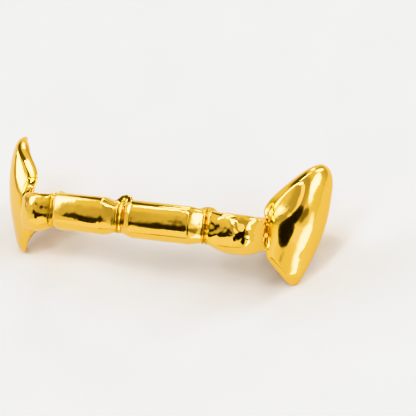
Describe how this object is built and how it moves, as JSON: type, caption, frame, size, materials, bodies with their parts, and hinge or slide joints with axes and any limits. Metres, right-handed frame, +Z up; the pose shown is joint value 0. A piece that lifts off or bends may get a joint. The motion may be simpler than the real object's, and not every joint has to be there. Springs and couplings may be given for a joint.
{
  "type": "front bar fang grillz",
  "caption": "Polished gold bar of soft linked segments across the upper front teeth, with a fang-shaped cap over each canine; removable tooth jewellery.",
  "frame": {"origin": "bottom centre of the part's box, on the surface where the part lies on its back", "axes": "+X across the mouth towards the wearer's left canine, +Y towards the gum, +Z up from the surface; the front of the bar faces up and a little towards -Y"},
  "size_m": [0.038, 0.0126, 0.0108],
  "materials": {
    "gold": "polished"
  },
  "bodies": {
    "root": {"grillz": "gold"}
  },
  "joints": []
}
